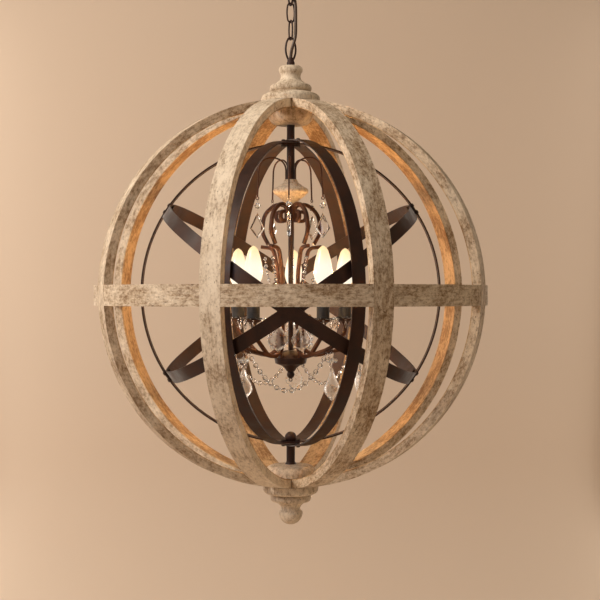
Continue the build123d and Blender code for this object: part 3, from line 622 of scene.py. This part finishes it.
def addBead(mesh, place, axis, radius, length, sides=8, waist=0.45):
    turn = axis.to_track_quat("Z", "Y").to_matrix()
    rings = []
    for offset, share in ((-0.5, waist), (0, 1), (0.5, waist)):
        ring = []
        for side in range(sides):
            angle = 2 * math.pi * (side + (0.5 if offset else 0)) / sides
            reach = share * radius
            spot = Vector((reach * math.cos(angle), reach * math.sin(angle), offset * length))
            ring.append(mesh.verts.new(place + turn @ spot))
        rings.append(ring)
    for lower, upper, lean in ((rings[0], rings[1], 0), (rings[1], rings[2], 1)):
        for side in range(sides):
            after = (side + 1) % sides
            if lean:
                mesh.faces.new((lower[side], lower[after], upper[side]))
                mesh.faces.new((lower[after], upper[after], upper[side]))
            else:
                mesh.faces.new((lower[side], lower[after], upper[after]))
                mesh.faces.new((lower[side], upper[after], upper[side]))
    mesh.faces.new(rings[0][::-1])
    mesh.faces.new(rings[2])


def finishGlass(name, mesh, material, body="orb"):
    bmesh.ops.recalc_face_normals(mesh, faces=mesh.faces[:])
    data = bpy.data.meshes.new(name)
    mesh.to_mesh(data)
    mesh.free()
    data.materials.append(material)
    piece = bpy.data.objects.new(name, data)
    scene.collection.objects.link(piece)
    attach(piece, body)
    return piece


# The wire hook and pin of each hanging crystal, in metres.
hookSize = {
    "radius": 0.0026,
    "wire": 0.00035,
    "play": 0.0003,
    "eyeWire": 0.00045,
    "pin": 0.0003,
    "pinSink": 0.002,
    "steps": 16,
    "sides": 6,
}


def addHook(mesh, middle, axis):
    turn = axis.to_track_quat("Z", "Y").to_matrix()
    steps, sides = hookSize["steps"], hookSize["sides"]
    rows = []
    for step in range(steps):
        around = 2 * math.pi * step / steps
        out = Vector((math.cos(around), math.sin(around), 0))
        row = []
        for side in range(sides):
            angle = 2 * math.pi * side / sides
            rise = Vector((0, 0, hookSize["wire"] * math.sin(angle)))
            spot = out * (hookSize["radius"] + hookSize["wire"] * math.cos(angle)) + rise
            row.append(mesh.verts.new(middle + turn @ spot))
        rows.append(row)
    for row, after in zip(rows, rows[1:] + rows[:1]):
        for side in range(sides):
            ahead = (side + 1) % sides
            mesh.faces.new((row[side], row[ahead], after[ahead], after[side]))


# The two cuts: a clear table inside a bevelled rim. An outline is half of the shape, as (distance
# from the middle line, depth below the top) in shares of the size. The rings go from one face to
# the other, as (place through the thickness, share of the outline), drawn in round the heart.
crystalCuts = {
    "kite": {
        "heart": 0.58,
        "outline": [
            (0.0, 0.0), (0.30, 0.17), (0.62, 0.375), (1.0, 0.61),
            (0.66, 0.745), (0.32, 0.88), (0.0, 1.0),
        ],
        "rings": [(0.5, 0.70), (0.42, 0.82), (0.10, 1.0), (-0.10, 1.0), (-0.42, 0.82), (-0.5, 0.70)],
    },
    "pear": {
        "heart": 0.58,
        "outline": [
            (0.06, 0.0), (0.17, 0.05), (0.25, 0.13), (0.36, 0.23), (0.54, 0.34), (0.78, 0.46),
            (0.95, 0.56), (1.0, 0.65), (0.93, 0.73), (0.72, 0.82), (0.42, 0.91), (0.16, 0.975),
            (0.0, 1.0),
        ],
        "rings": [(0.5, 0.74), (0.40, 0.85), (0.10, 1.0), (-0.10, 1.0), (-0.40, 0.85), (-0.5, 0.74)],
    },
}


def addPlate(mesh, top, across, cut, width, height, thickness):
    down = Vector((0, 0, -1))
    through = across.cross(down)
    half, heart = cut["outline"], cut["heart"]
    outline = half + [(-out, depth) for out, depth in reversed(half) if out > 0]
    rings = []
    for offset, share in cut["rings"]:
        ring = []
        for out, depth in outline:
            sideways = across * (out * share * width / 2)
            drop = down * ((heart + (depth - heart) * share) * height)
            ring.append(mesh.verts.new(top + sideways + drop + through * (offset * thickness)))
        rings.append(ring)
    for ring, after in zip(rings, rings[1:]):
        for stop in range(len(ring)):
            ahead = (stop + 1) % len(ring)
            mesh.faces.new((ring[stop], ring[ahead], after[ahead], after[stop]))
    mesh.faces.new(rings[0][::-1])
    mesh.faces.new(rings[-1])


# Each kind of drop: the reach and height of its wire eye, the (height, radius) of its bead, its ring
# of small beads, the top, cut and size of its crystal, and how far each of the five is turned.
dropKinds = {
    "upper_drop": {
        "angles": wireAngles,
        "reach": 0.066,
        "eye": 0.183,
        "bead": (0.1715, 0.0064),
        "cluster": None,
        "top": 0.158,
        "cut": "kite",
        "size": (0.029, 0.049, 0.007),
        "turns": (90, 90, 90, 90, 90),
    },
    "lower_drop": {
        "angles": armAngles,
        "reach": 0.138,
        "eye": -0.1038,
        "bead": (-0.1188, 0.006),
        "cluster": {"height": -0.1198, "count": 6, "reach": 0.0074, "radius": 0.0042, "length": 0.007},
        "top": -0.1328,
        "cut": "pear",
        "size": (0.035, 0.060, 0.008),
        "turns": (30, 0, 0, 0, 0),
    },
    "leaf_drop": {
        "angles": armAngles,
        "reach": 0.038,
        "eye": -0.0435,
        "bead": None,
        "cluster": None,
        "top": -0.0485,
        "cut": "pear",
        "size": (0.040, 0.058, 0.008),
        "turns": (28, -24, 0, 0, 0),
    },
}


def flatWay(angle):
    turn = math.radians(angle)
    return Vector((math.cos(turn), math.sin(turn), 0))


def makeDrop(name, kind, angle, turn):
    up = Vector((0, 0, 1))
    place = orbPoint(angle, kind["reach"], 0)
    top = kind["top"]
    mesh = bmesh.new()
    wires = hookSize["eyeWire"] + hookSize["wire"] + hookSize["play"]
    hookMiddle = kind["eye"] + wires - hookSize["radius"]
    addHook(mesh, place + up * hookMiddle, flatWay(angle))
    pinTop = hookMiddle - hookSize["radius"]
    pinLength = pinTop - top + hookSize["pinSink"]
    pinMiddle = (pinTop + top - hookSize["pinSink"]) / 2
    addBead(mesh, place + up * pinMiddle, up, hookSize["pin"], pinLength, 6, 1)
    if kind["bead"]:
        height, radius = kind["bead"]
        addBead(mesh, place + up * height, up, radius, beadStretch * radius, 10)
    if kind["cluster"]:
        cluster = kind["cluster"]
        for number in range(cluster["count"]):
            out = flatWay(angle + 360 / cluster["count"] * number) * cluster["reach"]
            beadPlace = place + up * cluster["height"] + out
            addBead(mesh, beadPlace, up, cluster["radius"], cluster["length"])
    addPlate(mesh, place + up * top, flatWay(angle + 90 + turn), crystalCuts[kind["cut"]], *kind["size"])
    glass = plateCrystal if kind["cut"] == "pear" else crystalGlass
    piece = finishGlass(f"{name}_cut", mesh, glass, name)
    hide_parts(name)


for number in range(5):
    for name, kind in dropKinds.items():
        makeDrop(f"{name}_{number + 1}", kind, kind["angles"][number], kind["turns"][number])
print("drops made")


# The route's points are (reach, height) from the middle of the orb.
beadStrand = {
    "route": [
        (0.0535, 0.071), (0.0515, 0.055), (0.046, 0.035),
        (0.0415, 0.012), (0.038, -0.010), (0.0365, -0.031),
    ],
    "bigBead": 0.0043,
    "smallBead": 0.0021,
    "gap": 0.0006,
    "wire": 0.0004,
    "wireOverlap": 1.02,
}


def alongRoute(points, step):
    places, left = [points[0]], step
    for before, after in zip(points, points[1:]):
        run = after - before
        length = run.length
        walked = 0
        while walked + left <= length:
            walked += left
            places.append(before + run * (walked / length))
            left = step
        left -= length - walked
    return places


for number, angle in enumerate(armAngles):
    route = [orbPoint(angle, reach, height) for reach, height in beadStrand["route"]]
    spacing = beadStrand["bigBead"] + beadStrand["smallBead"] + beadStrand["gap"]
    wireLength = spacing * beadStrand["wireOverlap"]
    places = alongRoute(route, spacing)
    mesh = bmesh.new()
    for stop, (place, after) in enumerate(zip(places, places[1:])):
        radius = beadStrand["bigBead"] if stop % 2 == 0 else beadStrand["smallBead"]
        addBead(mesh, place, after - place, radius, beadStretch * radius)
        addBead(mesh, (place + after) / 2, after - place, beadStrand["wire"], wireLength, 5, 1)
    finishGlass(f"bead_strand_{number + 1}", mesh, crystalGlass)

# Each prism hangs on a wire with a small bead above it. Drops are measured from the dish's rim.
dishPrisms = {
    "count": 10,
    "rimReach": 0.0245,
    "rimHeight": -0.0445,
    "bead": {"drop": 0.0022, "radius": 0.0018, "length": 0.003, "sides": 6, "waist": 0.5},
    "prism": {"drop": 0.0116, "radius": 0.0026, "length": 0.014, "sides": 6, "waist": 0.35},
    "wire": {"drop": 0.0028, "radius": 0.0003, "length": 0.0062, "sides": 5, "waist": 1},
}

for number, angle in enumerate(armAngles):
    rimMiddle = orbPoint(angle, armPlan["candleReach"], dishPrisms["rimHeight"])
    down = Vector((0, 0, -1))
    mesh = bmesh.new()
    for hanger in range(dishPrisms["count"]):
        around = 360 * (hanger + 0.5) / dishPrisms["count"]
        hang = rimMiddle + flatWay(around) * dishPrisms["rimReach"]
        for form in (dishPrisms["bead"], dishPrisms["prism"], dishPrisms["wire"]):
            spot = hang + down * form["drop"]
            addBead(mesh, spot, down, form["radius"], form["length"], form["sides"], form["waist"])
    finishGlass(f"dish_prisms_{number + 1}", mesh, crystalGlass)
print("strands and prisms made")


# Floor and backdrop are see-through from behind, so that views from there show the object.
def stageMaterial(name, colour):
    material, tree, shader = newMaterial(name)
    shader.inputs["Base Color"].default_value = (*colour, 1)
    shader.inputs["Roughness"].default_value = 0.9
    side = addNode(tree, "ShaderNodeNewGeometry", -500, -200)
    seen = mathNode(tree, "SUBTRACT", 1, side.outputs["Backfacing"], x=-300, y=-200)
    tree.links.new(seen, shader.inputs["Alpha"])
    return material


stageLook = {
    "colour": (0.66, 0.54, 0.43),
    "halfWidth": 6.0,
    "floor": -1.75,
    "front": -5.0,
    "wall": 1.6,
    "wallHeight": 6,
    "bend": 0.6,
    "bendSteps": 16,
}


def makeStage():
    mesh = bmesh.new()
    half, floor, wall, bend = (stageLook[name] for name in ("halfWidth", "floor", "wall", "bend"))
    profile = [(stageLook["front"], floor), (wall - bend, floor)]
    for step in range(1, stageLook["bendSteps"] + 1):
        turn = math.pi / 2 * step / stageLook["bendSteps"]
        profile.append((wall - bend + bend * math.sin(turn), floor + bend - bend * math.cos(turn)))
    profile.append((wall, floor + stageLook["wallHeight"]))
    left = [mesh.verts.new((-half, y, z)) for y, z in profile]
    right = [mesh.verts.new((half, y, z)) for y, z in profile]
    for number in range(len(profile) - 1):
        mesh.faces.new((left[number], right[number], right[number + 1], left[number + 1]))
    data = bpy.data.meshes.new("stage")
    mesh.to_mesh(data)
    mesh.free()
    data.polygons.foreach_set("use_smooth", [True] * len(data.polygons))
    data.materials.append(stageMaterial("stagePaper", stageLook["colour"]))
    stage = bpy.data.objects.new("stage", data)
    scene.collection.objects.link(stage)


makeStage()

# The lamps all point at the middle of the orb.
lampSet = {
    "key": {"place": (-2.5, -1.15, 1.0), "size": (1.2, 1.2), "power": 88, "colour": (1, 0.87, 0.73)},
    "sky": {"place": (-2.1, -2.2, 0.2), "size": (1.2, 1.2), "power": 9, "colour": (0.60, 0.68, 1.0)},
    "fill": {"place": (2.2, -1.9, -0.4), "size": (1.8, 1.8), "power": 5, "colour": (1, 0.76, 0.52)},
    "stripLeft": {"place": (-1.2, 1.45, -0.7), "size": (0.3, 2.0), "power": 9, "colour": (1, 0.92, 0.82)},
    "stripRight": {"place": (1.2, 1.45, -0.7), "size": (0.3, 2.0), "power": 5, "colour": (1, 0.92, 0.82)},
    "wallWash": {"place": (0, -1.2, 1.6), "size": (2.4, 1.0), "power": 12, "colour": (1, 0.90, 0.78)},
}
for name, lamp in lampSet.items():
    data = bpy.data.lights.new(name, "AREA")
    data.shape = "RECTANGLE"
    data.size, data.size_y = lamp["size"]
    data.energy = lamp["power"]
    data.color = lamp["colour"]
    light = bpy.data.objects.new(name, data)
    light.location = lamp["place"]
    aim = Vector((0, 0, orbMiddle)) - light.location
    light.rotation_euler = aim.to_track_quat("-Z", "Y").to_euler()
    scene.collection.objects.link(light)

bulbLight = {"power": 4.2, "colour": (1.0, 0.54, 0.20), "height": 0.045, "size": 0.022}
for number, angle in enumerate(armAngles):
    data = bpy.data.lights.new(f"bulbLight{number + 1}", "POINT")
    data.energy = bulbLight["power"]
    data.color = bulbLight["colour"]
    data.shadow_soft_size = bulbLight["size"]
    light = bpy.data.objects.new(f"bulbLight{number + 1}", data)
    light.location = orbPoint(angle, armPlan["candleReach"], bulbLight["height"])
    scene.collection.objects.link(light)
    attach(light, f"bulb_{number + 1}")

worldLook = {"colour": (1.0, 0.78, 0.56), "strength": 0.19}
world = bpy.data.worlds.new("studio")
world.use_nodes = True
background = world.node_tree.nodes["Background"]
background.inputs["Color"].default_value = (*worldLook["colour"], 1)
background.inputs["Strength"].default_value = worldLook["strength"]
scene.world = world
scene.view_settings.view_transform = "Standard"
print("stage and lights set")
